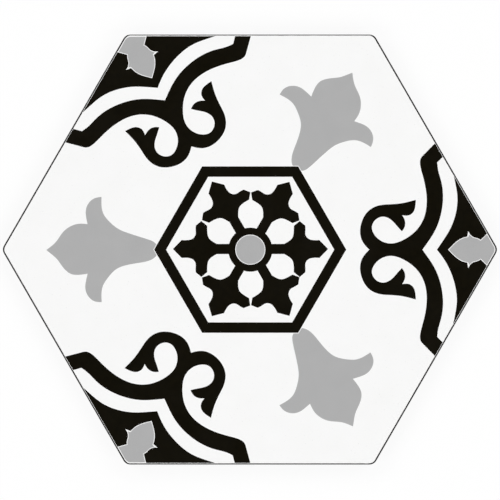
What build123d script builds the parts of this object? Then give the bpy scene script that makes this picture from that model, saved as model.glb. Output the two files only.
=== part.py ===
"""Hexagonal porcelain tile with a flat glazed face and a honeycomb key pressed into its back.

One pressed and fired piece, in millimetres, lying face up with +Z up. The origin is the middle
of the back, on the plane that its ribs stand on, and two of the six corners lie on the X axis.
"""

import os
from math import atan2, degrees, sqrt

from build123d import *

# Plan of the face
ACROSS_FLATS = 220.0
CORNER_RADIUS = 4.0

# Section, from the face down to the ribs of the back
THICKNESS = 9.0
ARRIS_RADIUS = 0.7  # round-over between the face and the sides
EDGE_LAND = 4.5  # upright band of the sides, just below the arris
BACK_DRAW_IN = 0.8  # how far the sides lean in below the land, so that the tile leaves its die
HEEL_RADIUS = 0.4  # round-over between the sides and the back

# Honeycomb key of the back: shallow cells between ribs, inside a plain rim
RIM_WIDTH = 8.0  # from the back's edge to the nearest points of the cells
RIB_WIDTH = 2.5  # between two cells, at the plane of the back
KEY_DEPTH = 0.7
KEY_RINGS = 5  # rings of cells round the middle one
KEY_DRAFT = 30.0  # degrees that the cells' walls lean from upright

# The sides lean between the back and the foot of the land.
LAND_FOOT = THICKNESS - ARRIS_RADIUS - EDGE_LAND
SIDE_DRAFT = degrees(atan2(BACK_DRAW_IN, LAND_FOOT))

# The outermost row of cells turns its points to the rim, so the pitch follows from the field's apothem.
KEY_FIELD_APOTHEM = ACROSS_FLATS / 2 - BACK_DRAW_IN - RIM_WIDTH
KEY_PITCH = (KEY_FIELD_APOTHEM + RIB_WIDTH / sqrt(3)) / (KEY_RINGS * sqrt(3) / 2 + 1 / sqrt(3))


def hexagon(across_flats, turn=0.0):
    """Hexagon about the origin, with a corner on the X axis before it is turned."""
    return RegularPolygon(across_flats / 2, 6, major_radius=False, rotation=turn)


def pressed_blank():
    """The tile before its back is keyed: an upright land over sides that lean in to the back."""
    plan = hexagon(ACROSS_FLATS)
    plan = Pos(0, 0, LAND_FOOT) * fillet(plan.vertices(), CORNER_RADIUS)
    upper = extrude(plan, amount=THICKNESS - LAND_FOOT)
    lower = extrude(plan, amount=-LAND_FOOT, taper=SIDE_DRAFT)
    blank = upper + lower
    blank = fillet(blank.edges().group_by(Axis.Z)[-1], ARRIS_RADIUS)
    return fillet(blank.edges().group_by(Axis.Z)[0], HEEL_RADIUS)


def key_centres():
    """Centres of the honeycomb's cells: the middle one and its rings, which fill a hexagon like the tile's."""
    steps = range(-KEY_RINGS, KEY_RINGS + 1)
    return [
        Pos(KEY_PITCH * (across + up / 2), KEY_PITCH * up * sqrt(3) / 2)
        for across in steps
        for up in steps
        if abs(across + up) <= KEY_RINGS
    ]


def key_cell():
    """One cell, with walls that lean so that the die's punch draws out. Its flats face its neighbours."""
    mouth = hexagon(KEY_PITCH - RIB_WIDTH, turn=30)
    return extrude(mouth, amount=KEY_DEPTH, taper=KEY_DRAFT)


def porcelain_tile():
    cell = key_cell()
    return pressed_blank() - [centre * cell for centre in key_centres()]


os.makedirs("parts", exist_ok=True)
export_step(porcelain_tile(), "parts/porcelain_tile.step")
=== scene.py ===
"""Looks of the hexagonal porcelain tile: its glazed and printed face, its bare sides and its keyed back."""

from math import atan2, cos, floor, pi, radians, sin, sqrt

import bmesh
import bpy
import numpy as np
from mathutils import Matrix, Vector
from mathutils.geometry import delaunay_2d_cdt


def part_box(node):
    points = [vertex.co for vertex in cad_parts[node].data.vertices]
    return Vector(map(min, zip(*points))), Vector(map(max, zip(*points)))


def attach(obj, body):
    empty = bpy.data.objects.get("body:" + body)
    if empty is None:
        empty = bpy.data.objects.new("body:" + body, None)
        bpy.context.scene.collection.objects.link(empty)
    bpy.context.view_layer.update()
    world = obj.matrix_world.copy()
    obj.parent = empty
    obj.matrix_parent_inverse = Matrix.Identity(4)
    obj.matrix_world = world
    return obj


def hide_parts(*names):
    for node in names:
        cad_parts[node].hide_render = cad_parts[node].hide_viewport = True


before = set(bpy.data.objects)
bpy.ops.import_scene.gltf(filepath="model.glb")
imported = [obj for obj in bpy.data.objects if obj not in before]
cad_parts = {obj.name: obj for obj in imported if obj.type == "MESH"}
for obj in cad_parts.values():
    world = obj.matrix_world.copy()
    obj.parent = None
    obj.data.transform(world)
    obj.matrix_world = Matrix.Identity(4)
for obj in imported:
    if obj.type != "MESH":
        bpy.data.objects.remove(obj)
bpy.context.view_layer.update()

# The tile's box, and the size of a drawn millimetre: the tile is drawn 220 across its flats
LOW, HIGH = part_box("porcelain_tile")
APOTHEM = (HIGH.y - LOW.y) / 2
MM = APOTHEM / 110
TOP = HIGH.z
ARRIS_RADIUS = 0.7 * MM  # round-over between the face and the sides
FACE_APOTHEM = APOTHEM - ARRIS_RADIUS
KEY_FLOOR = 0.7 * MM  # depth of the cells in the back
UPPER_LAP = 0.2 * MM  # how far the glaze reaches over the arris of the side at the end of the Y axis
LOWER_LAP = 0.08 * MM  # and of the side across from it
CREASE = radians(11)  # edges that bend more than this are left sharp
SIXTH = pi / 3  # of a full turn
TINY = 1e-7

# Material slots of the tile
WHITE, BLACK, GREY, SIDE, BACK = range(5)

# Outlines on the face that come before the print's own, and the one that each colour stays within
BORDER, WHITE_REACH, BLACK_REACH, GREY_REACH = range(4)
REACHES = {WHITE: WHITE_REACH, BLACK: BLACK_REACH, GREY: GREY_REACH}
# The bare rim between the border and the white's reach is partly painted shade along the tile's edge
MARGINS = (0, 0.1 * MM, 0.14 * MM, 0.45 * MM)  # from the arris to each of these outlines

# Sides, counted leftwards from the X axis, over whose arris the glaze laps
LAPPED_SIDES = (1, 4)

# The texture: the colours and the back have a quarter each, and the sides are strips between the quarters
QUARTER_MIDDLES = {WHITE: (0.25, 0.75), BLACK: (0.75, 0.75), GREY: (0.25, 0.25), BACK: (0.75, 0.25)}
HALF_TILE = 0.245  # from a quarter's middle to the tile's corner
UV_SCALE = HALF_TILE / HIGH.x
RIM_SPREAD = 1.007  # widens the white's rim, whose thinnest strips would miss every pixel
STRIPS_IN_ROW = 3
STRIP_LENGTH = 0.25
STRIP_STEP = 0.026  # from one row of strips to the next
FIRST_STRIP = 0.475  # height of the first row

# The print, in its own millimetres, which come out a little small
PRINT_MM = APOTHEM / 110.35
HEXAGON_OUTER = 42.7  # apothems of the hexagon in the middle
HEXAGON_INNER = 37.35
KEYLINE = 0.33  # bare glaze left between black and grey
HUB_RADIUS = 11.3
DISC_RADIUS = 7.35
CURVE_STEP = 0.5  # between points along a curve
FEWEST_STEPS = 3  # from one drawn point of a curve to the next
CIRCLE_POINTS = 96

# Where the print has landed, for each motif or for each of its turns
LILY_TURNS = (60, 180, 300)
LILY_SHIFT = (0.35, -0.07)
RING_SHIFT = (0.14, -0.02)
HUB_SHIFT = (0.22, -0.06)
CORNER_SHIFTS = {0: (0.25, -0.06), 120: (0.53, 0.09), 240: (0.28, -0.08)}
FLIPPED_CORNER = 240  # the one whose field is the mirror image of the others
ARM_SHIFTS = {
    0: (0.35, 0.29),
    60: (0.41, 0.29),
    120: (0.4, 0.47),
    180: (0.29, 0.29),
    240: (0.36, 0.25),
    300: (0.43, 0.42),
}

# The photograph: a square that looks straight down on the tile
PHOTO_PX = 500
PHOTO_PX_PER_MM = 1.9549
PHOTO_TILE_X = 249.9
PHOTO_TILE_Y = 249.55
PHOTO_WIDTH = PHOTO_PX / PHOTO_PX_PER_MM * MM
CAMERA_HEIGHT = 3.0
SENSOR = 36.0

# The studio
LAMPS = 6
LAMP_DISTANCE = 2.0
LAMP_SIZE = 0.9
LAMP_ELEVATION = radians(40)
WORLD_LIGHT = 0.03
EXPOSURE = 1.08  # makes up for the light that the glaze turns aside
UNDER_LIGHT = 1.0  # for views from below
FLOOR_WIDTH = 8.0
FLOOR_GAP = 0.0002  # below the tile
FLOOR_WHITE = 0.95
FLOOR_OWN = 0.9  # share of the floor's white that no shadow dims

# Most of a noise lies between these two values
NOISE_LOW = 0.3
NOISE_HIGH = 0.7


def smooth(points):
    """Points along the natural cubic spline through a few points, which are spaced by their chords."""
    nodes = np.array(points)
    if len(nodes) == 2:
        return list(points)
    chords = np.linalg.norm(np.diff(nodes, axis=0), axis=1)
    slopes = np.diff(nodes, axis=0) / chords[:, None]
    matrix = np.eye(len(nodes))
    bends = np.zeros((len(nodes), 2))
    for i in range(1, len(nodes) - 1):
        matrix[i, i - 1 : i + 2] = chords[i - 1], 2 * (chords[i - 1] + chords[i]), chords[i]
        bends[i] = slopes[i] - slopes[i - 1]
    bends = np.linalg.solve(matrix, bends)
    found = []
    for i, chord in enumerate(chords):
        steps = max(FEWEST_STEPS, round(chord / CURVE_STEP))
        for gone in np.linspace(0, 1, steps, endpoint=False):
            left = 1 - gone
            bow = (left**3 - left) * bends[i] + (gone**3 - gone) * bends[i + 1]
            found.append(tuple(left * nodes[i] + gone * nodes[i + 1] + bow * chord**2))
    return found + [points[-1]]


def outline(*runs):
    """One line made of smooth runs. Each goes on from the last point of the one before, round a corner."""
    found = smooth(runs[0])
    for run in runs[1:]:
        found += smooth([found[-1], *run])[1:]
    return found


def joined(left, right):
    """Both sides of a motif, each drawn as on the left of its axis, as a closed outline that turns left."""
    return [(along, -aside) for along, aside in right if aside] + left[::-1]


def mirrored(line):
    return joined(line, line)


def grown(line, width):
    """A closed outline that turns left, moved outwards by a width."""
    nodes = np.array(line)
    steps = np.roll(nodes, -1, axis=0) - nodes
    outward = np.stack([steps[:, 1], -steps[:, 0]], axis=1) / np.linalg.norm(steps, axis=1)[:, None]
    before = np.roll(outward, 1, axis=0)
    mitres = (outward + before) / (1 + (outward * before).sum(axis=1))[:, None]
    return [tuple(node) for node in nodes + mitres * width]


def circle(radius):
    turns = np.linspace(0, 2 * pi, CIRCLE_POINTS, endpoint=False)
    return [(radius * cos(turn), radius * sin(turn)) for turn in turns]


def hexagon(apothem):
    radius = apothem * 2 / sqrt(3)
    return [(radius * cos(corner * SIXTH), radius * sin(corner * SIXTH)) for corner in range(6)]


# Each motif is drawn along its axis, as (along, aside), with the middle of the tile at along = 0.


def volute_band():
    """Black ogee band, whose two halves grow together into volutes that end in two-lobed leaves."""
    return mirrored(
        outline(
            # Outside of the curl, from the notch on the axis to the leaf's tip
            [(61, 0), (59.1, 2), (57.15, 5), (56.3, 9.6), (57.4, 15), (60.75, 20.05), (66, 22.7),
             (72, 23.3), (78, 23.9), (84.9, 25.6)],
            # Upper lobe and lower lobe of the leaf
            [(84.7, 22.8), (83.6, 19.3), (81.2, 17.6), (77.9, 17.7)],
            [(79, 15.7), (79.45, 13.4), (78.95, 11.2), (77.8, 9.4)],
            # Inside of the curl, and on along the band to its elbow
            [(76, 11.25), (72.4, 15.15), (68.4, 16.9), (64.45, 15.55), (62.35, 11.5), (64.1, 7.1),
             (67.55, 4.3), (72, 3.2), (79, 5.3), (84.95, 9.75), (88.95, 16.05), (90.5, 25), (89.4, 34.2),
             (88.25, 38.7), (87.2, 43), (87.05, 45.3), (87.4, 46.8), (88.2, 48)],
            # Square end, which runs out over the edge of the tile
            [(97.6, 57.5)],
            [(106, 54.8)],
            [(95.9, 44.8)],
            # Outer side of the band, back to the point on the axis
            [(96.3, 41.2), (97.95, 35), (98.85, 28), (98.05, 19.4), (95, 10.25), (91.3, 4.2), (88.3, 0)],
        )
    )


def corner_field(flipped):
    """Black field in the tile's corner, as far as the white ogee. Its two sides aren't quite alike."""
    left = outline(
        [(95.7, 0), (99, 4.85), (102.2, 10.05), (105.4, 18.7), (106.25, 26.5), (105.25, 33.8), (103.7, 41)],
        [(112, 41)],
        [(132, 0)],
    )
    right = outline(
        [(95.7, 0), (99.2, 4.65), (102.2, 10.05), (105.1, 18.7), (105.95, 26.5), (104.95, 33.8), (103.4, 41)],
        [(112, 41)],
        [(132, 0)],
    )
    return joined(right, left) if flipped else joined(left, right)


def thorns():
    """White bar under the bud, whose pointed ends stand out on both sides of it."""
    return mirrored(outline([(111.4, 0), (111.4, 7.2)], [(111.8, 9.5)], [(113, 7.3)], [(113, 0)]))


def bud():
    """Grey bud that opens towards the tile's corner."""
    return mirrored(
        outline(
            [(101.9, 0), (103.4, 1.55), (105.8, 3.8), (108.7, 5.6), (111.85, 6.5)],
            [(112.25, 7.85)],
            [(114.5, 6.1), (116.5, 5.55), (118.2, 4.6)],
            [(119.5, 5.85), (121.9, 8.25)],
            [(132, 0)],
        )
    )


def lily():
    """Grey lily with two curled petals and a pointed bud. Its two sides aren't quite alike."""
    left = outline(
        [(46, 0), (48, 2.6)],
        [(48.7, 3.5), (51, 5.15), (57, 6.7), (64, 8), (69, 10.05), (73, 14.1), (75.8, 18.6), (76.4, 26.9)],
        [(80, 26.5), (83.2, 24), (84.75, 20.2), (84.5, 16.2), (83.6, 12.3)],
        [(88, 12.9), (92, 12.5), (96, 9.35), (100, 4.15), (102.4, 2.1), (104.75, 0.2)],
    )
    right = outline(
        [(46, 0), (48.2, 2.4)],
        [(48.9, 3.35), (51.5, 4.85), (57, 6.65), (63, 8.6), (68, 10.75), (72, 13.95), (75.5, 18.4),
         (76.5, 27.1)],
        [(80, 26.4), (83.1, 23.9), (84.6, 19.4), (84.2, 15.8), (83.7, 13.1)],
        [(88, 13.3), (92, 12.2), (96, 9.3), (100, 3.9), (104.6, 0)],
    )
    return joined(left, right)


def arm():
    """One of the snowflake's six arms, a cross with pointed ends."""
    return mirrored(
        outline(
            [(8, 2.6), (17.2, 2.6)],
            [(19.4, 3.85), (21.35, 5.65), (22.1, 8.4), (22.2, 11.9)],
            [(25.2, 14.35)],
            [(28.05, 12)],
            [(28.15, 9.8), (28.15, 7.4), (29.45, 5.45), (31.8, 4.6), (35.3, 4.6)],
            [(39.8, 0)],
        )
    )


def turned(line, degrees, shift):
    """A motif's outline on the tile, turned to its own axis and moved to where it was printed."""
    cosine = cos(radians(degrees))
    sine = sin(radians(degrees))
    places = [(x * cosine - y * sine + shift[0], x * sine + y * cosine + shift[1]) for x, y in line]
    return [Vector(place) * PRINT_MM for place in places]


def print_layers():
    """The print's outlines on the tile with their colours, in the order in which they lie over each other."""
    motifs = [(GREY, lily(), turn, LILY_SHIFT) for turn in LILY_TURNS]
    motifs += [
        (WHITE, hexagon(HEXAGON_OUTER + KEYLINE), 0, RING_SHIFT),
        (BLACK, hexagon(HEXAGON_OUTER), 0, RING_SHIFT),
        (WHITE, hexagon(HEXAGON_INNER), 0, RING_SHIFT),
    ]
    motifs += [(BLACK, arm(), turn, shift) for turn, shift in ARM_SHIFTS.items()]
    motifs += [
        (BLACK, circle(HUB_RADIUS), 0, HUB_SHIFT),
        (WHITE, circle(DISC_RADIUS + KEYLINE), 0, HUB_SHIFT),
        (GREY, circle(DISC_RADIUS), 0, HUB_SHIFT),
    ]
    for turn, shift in CORNER_SHIFTS.items():
        motifs += [
            (BLACK, volute_band(), turn, shift),
            (BLACK, corner_field(turn == FLIPPED_CORNER), turn, shift),
            (WHITE, grown(bud(), KEYLINE), turn, shift),
            (WHITE, thorns(), turn, shift),
            (GREY, bud(), turn, shift),
        ]
    return [(turned(line, turn, shift), colour) for colour, line, turn, shift in motifs]


def on_face(face):
    """Whether a face of the mesh is part of the tile's flat top."""
    return all(abs(v.co.z - TOP) < TINY for v in face.verts)


def on_back(face):
    """Whether a face of the mesh is part of the back, on its ribs or in the cells between them."""
    highest = max(v.co.z for v in face.verts)
    return any(abs(highest - level) < TINY for level in (LOW.z, LOW.z + KEY_FLOOR))


def side_of(face):
    """Which of the six sides a face of the mesh lies nearest to, counted leftwards from the X axis."""
    middle = face.calc_center_median()
    return floor(atan2(middle.y, middle.x) / SIXTH) % 6


def top_loop(mesh):
    """The corners of the open top's outline, in order."""
    edge = next(e for e in mesh.edges if e.is_boundary)
    loop = [edge.verts[0]]
    while True:
        vert = edge.other_vert(loop[-1])
        if vert == loop[0]:
            return loop
        loop.append(vert)
        edge = next(e for e in vert.link_edges if e.is_boundary and e != edge)


def split_edge(mesh, loop, place):
    """Adds a corner to the top's outline where the edge of the print runs out over it."""
    for start, end in zip(loop, loop[1:] + loop[:1]):
        run = (end.co - start.co).xy
        share = (place - start.co.xy).dot(run) / run.length_squared
        miss = (start.co.xy + run * share - place).length
        if 0 < share < 1 and miss < TINY:
            _, vert = bmesh.utils.edge_split(mesh.edges.get((start, end)), start, share)
            loop.insert(loop.index(start) + 1, vert)
            return


def face_outlines(border):
    """Every outline on the flat top with its colour: how far each colour reaches, and then the print."""
    reaches = [[place * (1 - margin / FACE_APOTHEM) for place in border] for margin in MARGINS]
    return [(reach, WHITE) for reach in reaches] + print_layers()


def cut_plane(outlines):
    """Cuts the plane along outlines into triangles, and says which outlines each of them lies within.

    Returns the triangles' corners, the outlines' own points at each corner, and the triangles on the tile.
    """
    points = []
    loops = []
    for line, _ in outlines:
        loops.append(list(range(len(points), len(points) + len(line))))
        points += line
    inside_only = 1
    places, _, pieces, sources, _, covers = delaunay_2d_cdt(points, [], loops, inside_only, TINY / 10, True)
    return places, sources, [(piece, cover) for piece, cover in zip(pieces, covers) if BORDER in cover]


def slot_of(face, cover, outlines):
    """The slot of a piece of the flat top: the colour of the last outline over it, within that reach."""
    _, colour = outlines[max(cover)]
    if REACHES[colour] in cover:
        return colour
    # Where the glaze doesn't lap over the arris it draws back from it, though not beside the black. The dark
    # bare rim this leaves is partly painted shade along the tile's edge, which draws its outline.
    bare_rim_painted_shade = WHITE_REACH not in cover and colour != BLACK and side_of(face) not in LAPPED_SIDES
    return SIDE if bare_rim_painted_shade else WHITE


def cut_face(mesh):
    """Cuts the flat top along its outlines, gives each piece its slot and returns the top's rim."""
    bmesh.ops.delete(mesh, geom=[f for f in mesh.faces if on_face(f)], context="FACES")
    loop = top_loop(mesh)
    outlines = face_outlines([v.co.xy for v in loop])
    places, sources, pieces = cut_plane(outlines)
    used = {i for piece, _ in pieces for i in piece}
    for i in used:
        if not sources[i]:
            split_edge(mesh, loop, places[i])
    verts = {}
    for i in used:
        verts[i] = next((v for v in loop if (v.co.xy - places[i]).length < TINY), None)
        if verts[i] is None:
            verts[i] = mesh.verts.new((*places[i], TOP))
    for piece, cover in pieces:
        face = mesh.faces.new([verts[i] for i in piece])
        face.material_index = slot_of(face, cover, outlines)
    mesh.normal_update()
    return loop


def side_strip(place, side):
    """Where a point of the sides lies on the texture: one strip for each of the six sides."""
    turn = (side + 0.5) * SIXTH
    out = place.x * cos(turn) + place.y * sin(turn)
    along = place.y * cos(turn) - place.x * sin(turn)
    drop = TOP - place.z
    down = drop + (out - FACE_APOTHEM if drop < ARRIS_RADIUS else ARRIS_RADIUS + APOTHEM - out)
    row, column = divmod(side, STRIPS_IN_ROW)
    middle = STRIP_LENGTH * (column + 0.5)
    return Vector((middle + along * UV_SCALE, FIRST_STRIP + STRIP_STEP * row + down * UV_SCALE))


def lay_out(mesh, rim):
    """Lays the colours, the sides and the back apart on the texture, so that none runs into another."""
    layer = mesh.loops.layers.uv.new("OFBake")
    for face in mesh.faces:
        slot = face.material_index
        side = side_of(face)
        for corner in face.loops:
            place = corner.vert.co
            if slot == SIDE:
                corner[layer].uv = side_strip(place, side)
            else:
                spread = RIM_SPREAD if slot == WHITE and corner.vert in rim else 1
                across = -place.x if slot == BACK else place.x
                offset = Vector((across, place.y)) * UV_SCALE * spread
                corner[layer].uv = Vector(QUARTER_MIDDLES[slot]) + offset


def tile_mesh():
    """The CAD tile's mesh with its face cut for the print, smooth over its rounded edges."""
    mesh = bmesh.new()
    mesh.from_mesh(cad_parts["porcelain_tile"].data)
    bmesh.ops.remove_doubles(mesh, verts=mesh.verts, dist=10 * TINY)
    for face in mesh.faces:
        face.material_index = BACK if on_back(face) else SIDE
    rim = set(cut_face(mesh))
    lay_out(mesh, rim)
    for face in mesh.faces:
        face.smooth = True
    for edge in mesh.edges:
        border = len({on_face(f) for f in edge.link_faces}) == 2
        edge.smooth = not border and edge.calc_face_angle() < CREASE
    return mesh


def fired_tile():
    data = bpy.data.meshes.new("fired_tile")
    mesh = tile_mesh()
    mesh.to_mesh(data)
    mesh.free()
    for make in (white_glaze, black_print, grey_print, bare_side_and_painted_edge_shade, bare_back):
        data.materials.append(make())
    tile = bpy.data.objects.new("fired_tile", data)
    bpy.context.scene.collection.objects.link(tile)
    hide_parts("porcelain_tile")
    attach(tile, "root")


class Nodes:
    """The nodes of a new material. A value is a number, or another node's output."""

    def __init__(self, name):
        self.material = bpy.data.materials.new(name)
        self.material.use_nodes = True
        self.tree = self.material.node_tree
        self.shader = self.tree.nodes.get("Principled BSDF")
        self.place = self.add("TexCoord").outputs["Object"]

    def add(self, kind, inputs=None):
        node = self.tree.nodes.new("ShaderNode" + kind)
        for name, value in (inputs or {}).items():
            self.put(value, node.inputs[name])
        return node

    def put(self, value, socket):
        if isinstance(value, bpy.types.NodeSocket):
            self.tree.links.new(value, socket)
        else:
            socket.default_value = value

    def noise(self, size, detail=2.0, stretch=1.0):
        """Noise with grains of a size in drawn millimetres, stretched upwards."""
        scale = {"Vector": self.place, "Scale": (1, 1, 1 / stretch)}
        place = self.add("Mapping", scale).outputs["Vector"]
        inputs = {"Vector": place, "Scale": 1 / (size * MM), "Detail": detail}
        return self.add("TexNoise", inputs).outputs["Fac"]

    def ramp(self, value, *stops):
        """Greys or colours by a value, from stops at rising places."""
        node = self.add("ValToRGB", {"Fac": value})
        elements = node.color_ramp.elements
        while len(elements) < len(stops):
            elements.new(0.5)
        for element, (place, colour) in zip(elements, stops):
            element.position = place
            element.color = (*colour, 1) if isinstance(colour, tuple) else (colour, colour, colour, 1)
        return node.outputs["Color"]

    def cloud(self, noise, low, high):
        """Greys or colours that follow a noise from low to high."""
        return self.ramp(noise, (NOISE_LOW, low), (NOISE_HIGH, high))

    def mix(self, kind, factor, first, second):
        node = self.add("Mix")
        node.data_type = "RGBA"
        node.blend_type = kind
        self.put(factor, node.inputs["Factor"])
        self.put(first, node.inputs["A"])
        self.put(second, node.inputs["B"])
        return node.outputs["Result"]

    def math(self, kind, *values):
        node = self.add("Math")
        node.operation = kind
        for value, socket in zip(values, node.inputs):
            self.put(value, socket)
        return node.outputs["Value"]

    def axis(self, name):
        """The place along one axis."""
        return self.add("SeparateXYZ", {"Vector": self.place}).outputs[name]

    def surface(self, colour, roughness, relief, depth):
        """Joins the nodes to the shader. The relief is depth drawn millimetres deep."""
        bump = self.add("Bump", {"Height": relief, "Distance": depth * MM})
        self.put(colour, self.shader.inputs["Base Color"])
        self.put(roughness, self.shader.inputs["Roughness"])
        self.put(bump.outputs["Normal"], self.shader.inputs["Normal"])
        return self.material


def under_glaze(nodes, colour):
    """Satin glaze over a colour, with faint ripples and finer orange peel."""
    roughness = nodes.cloud(nodes.noise(size=18), 0.21, 0.27)
    ripples = nodes.noise(size=5)
    peel = nodes.noise(size=0.8)
    peel_share = 0.25
    relief = nodes.math("MULTIPLY_ADD", peel, peel_share, ripples)
    return nodes.surface(colour, roughness, relief, depth=0.02)


def white_colour(nodes):
    """White with a faint cloudiness and a few pinhole specks."""
    dull = (0.94, 0.94, 0.935)
    bright = (0.955, 0.955, 0.953)
    white = nodes.cloud(nodes.noise(size=14, detail=4), dull, bright)
    specks = nodes.ramp(nodes.noise(size=0.6, detail=0), (0.17, 0.86), (0.21, 1.0))
    return nodes.mix("MULTIPLY", 1.0, white, specks)


def white_glaze():
    nodes = Nodes("white_glaze")
    return under_glaze(nodes, white_colour(nodes))


def black_print():
    """Warm black ink that lies a little unevenly."""
    nodes = Nodes("black_print")
    thick = (0.003, 0.0022, 0.0003)
    thin = (0.0048, 0.0035, 0.0007)
    return under_glaze(nodes, nodes.cloud(nodes.noise(size=3, detail=6), thick, thin))


def grey_print():
    """Grey ink with the fine grain of its dots."""
    nodes = Nodes("grey_print")
    thick = (0.421, 0.421, 0.423)
    thin = (0.436, 0.436, 0.437)
    ink = nodes.cloud(nodes.noise(size=9, detail=5), thick, thin)
    dots = nodes.ramp(nodes.noise(size=0.25, detail=1), (0.35, 0.94), (0.65, 1.06))
    return under_glaze(nodes, nodes.mix("MULTIPLY", 1.0, ink, dots))


def body_colour(nodes):
    """Dark grey stoneware with pale and dark grains, which shines less than the glaze. Its darkness on the
    arris is partly painted edge shade, which draws the tile's outline.
    """
    nodes.shader.inputs["Specular IOR Level"].default_value = 0.2
    dark = (0.021, 0.02, 0.019)
    pale = (0.03, 0.0285, 0.027)
    clay = nodes.cloud(nodes.noise(size=6, detail=5), dark, pale)
    grain = nodes.noise(size=0.5, detail=1)
    grains = nodes.ramp(grain, (0.3, 0.5), (0.36, 1.0), (0.66, 1.0), (0.72, 2.4))
    return nodes.mix("MULTIPLY", 1.0, clay, grains)


def lap_drop(lap):
    """How far below the face the glaze ends where it reaches over the arris."""
    return ARRIS_RADIUS - sqrt(ARRIS_RADIUS**2 - lap**2)


def glaze_lap(nodes):
    """White where the glaze laps over the arris of two sides, with a wavy end."""
    across = nodes.axis("Y")
    upper_side = nodes.math("GREATER_THAN", across, 0)
    more = lap_drop(UPPER_LAP) - lap_drop(LOWER_LAP)
    drop = nodes.math("MULTIPLY_ADD", upper_side, more, lap_drop(LOWER_LAP))
    level = nodes.math("DIVIDE", nodes.math("SUBTRACT", nodes.axis("Z"), TOP), drop)
    waves = nodes.noise(size=3, detail=3)
    sharpness = 4
    in_lap = nodes.math("MULTIPLY_ADD", nodes.math("ADD", level, waves), sharpness, sharpness / 2)
    in_lap.node.use_clamp = True
    lapped_side = nodes.math("GREATER_THAN", nodes.math("ABSOLUTE", across), FACE_APOTHEM)
    return nodes.math("MULTIPLY", in_lap, lapped_side)


def bare_side_and_painted_edge_shade():
    """Bare body with the upright marks of its die, whose dark arris is partly painted edge shade. On two
    sides the white glaze laps over the arris.
    """
    nodes = Nodes("bare_side_and_painted_edge_shade")
    glazed = glaze_lap(nodes)
    colour = nodes.mix("MIX", glazed, body_colour(nodes), white_colour(nodes))
    roughness = nodes.ramp(glazed, (0.0, 0.75), (1.0, 0.24))
    marks = nodes.noise(size=0.7, detail=2, stretch=20)
    grain = nodes.noise(size=0.4, detail=4)
    return nodes.surface(colour, roughness, nodes.math("ADD", marks, grain), depth=0.05)


def bare_back():
    """Bare body whose ribs still wear some of the white wash that kept them from sticking in the kiln."""
    nodes = Nodes("bare_back")
    thin = (0.42, 0.41, 0.39)
    thick = (0.56, 0.55, 0.53)
    wash = nodes.cloud(nodes.noise(size=2, detail=6), thin, thick)
    left_on = nodes.ramp(nodes.noise(size=20, detail=9), (0.4, 0.0), (0.62, 0.85))
    rib = nodes.math("LESS_THAN", nodes.axis("Z"), KEY_FLOOR / 10)
    colour = nodes.mix("MIX", nodes.math("MULTIPLY", left_on, rib), body_colour(nodes), wash)
    roughness = nodes.cloud(nodes.noise(size=3), 0.78, 0.9)
    return nodes.surface(colour, roughness, nodes.noise(size=0.6, detail=5), depth=0.05)


def floor_material():
    """White ground with the tile's shadow on it. From below it is clear, so that the back can be seen."""
    nodes = Nodes("white_floor")
    path = nodes.add("LightPath").outputs
    seen = nodes.math("ADD", path["Is Camera Ray"], path["Is Glossy Ray"])
    seen = nodes.math("ADD", seen, path["Is Transmission Ray"])
    own = nodes.add("Emission").outputs["Emission"]
    white = (FLOOR_WHITE, FLOOR_WHITE, FLOOR_WHITE, 1)
    lit = nodes.add("BsdfDiffuse", {"Color": white}).outputs["BSDF"]
    ground = nodes.add("MixShader", {0: nodes.math("MULTIPLY", seen, FLOOR_OWN), 1: lit, 2: own})
    under = nodes.add("NewGeometry").outputs["Backfacing"]
    clear = nodes.add("BsdfTransparent").outputs["BSDF"]
    floor_shader = nodes.add("MixShader", {0: under, 1: ground.outputs["Shader"], 2: clear})
    nodes.put(floor_shader.outputs["Shader"], nodes.tree.nodes["Material Output"].inputs["Surface"])
    nodes.tree.nodes.remove(nodes.shader)
    return nodes.material


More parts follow.
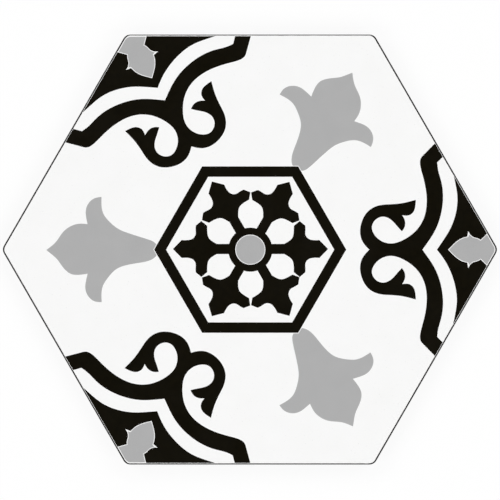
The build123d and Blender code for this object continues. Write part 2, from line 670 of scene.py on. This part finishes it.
def white_floor():
    data = bpy.data.meshes.new("floor")
    half = FLOOR_WIDTH / 2
    corners = [(-half, -half), (half, -half), (half, half), (-half, half)]
    data.from_pydata([(x, y, LOW.z - FLOOR_GAP) for x, y in corners], [], [range(4)])
    data.materials.append(floor_material())
    ground = bpy.data.objects.new("floor", data)
    ground.visible_shadow = False
    bpy.context.scene.collection.objects.link(ground)


def lamp(azimuth, elevation, light):
    """Soft round lamp that looks at the tile and lights it by a share of what shows colours as they are."""
    data = bpy.data.lights.new("softbox", "AREA")
    data.shape = "DISK"
    data.size = LAMP_SIZE
    data.energy = light * (pi * LAMP_DISTANCE) ** 2 / abs(sin(elevation))
    out = Vector((cos(azimuth) * cos(elevation), sin(azimuth) * cos(elevation), sin(elevation)))
    obj = bpy.data.objects.new("softbox", data)
    obj.location = out * LAMP_DISTANCE
    obj.rotation_euler = out.to_track_quat("Z", "Y").to_euler()
    obj.visible_camera = False
    bpy.context.scene.collection.objects.link(obj)


def light():
    for number in range(LAMPS):
        lamp((number + 0.5) * 2 * pi / LAMPS, LAMP_ELEVATION, (EXPOSURE - WORLD_LIGHT) / LAMPS)
    lamp(0, -pi / 2, UNDER_LIGHT)
    world = bpy.data.worlds.new("studio")
    world.use_nodes = True
    background = world.node_tree.nodes["Background"]
    background.inputs["Color"].default_value = (1, 1, 1, 1)
    background.inputs["Strength"].default_value = WORLD_LIGHT
    bpy.context.scene.world = world


def camera():
    """Long lens straight above the tile, framed as the photograph."""
    data = bpy.data.cameras.new("camera")
    data.sensor_width = SENSOR
    data.lens = SENSOR * CAMERA_HEIGHT / PHOTO_WIDTH
    data.clip_end = 2 * CAMERA_HEIGHT
    obj = bpy.data.objects.new("camera", data)
    across = (PHOTO_PX / 2 - PHOTO_TILE_X) / PHOTO_PX_PER_MM * MM
    up = (PHOTO_TILE_Y - PHOTO_PX / 2) / PHOTO_PX_PER_MM * MM
    obj.location = (across, up, TOP + CAMERA_HEIGHT)
    bpy.context.scene.collection.objects.link(obj)
    bpy.context.scene.camera = obj


camera()
fired_tile()
white_floor()
light()
bpy.context.scene.view_settings.view_transform = "Standard"
bpy.context.scene.render.bake.margin_type = "EXTEND"  # each colour on the texture fades into no other
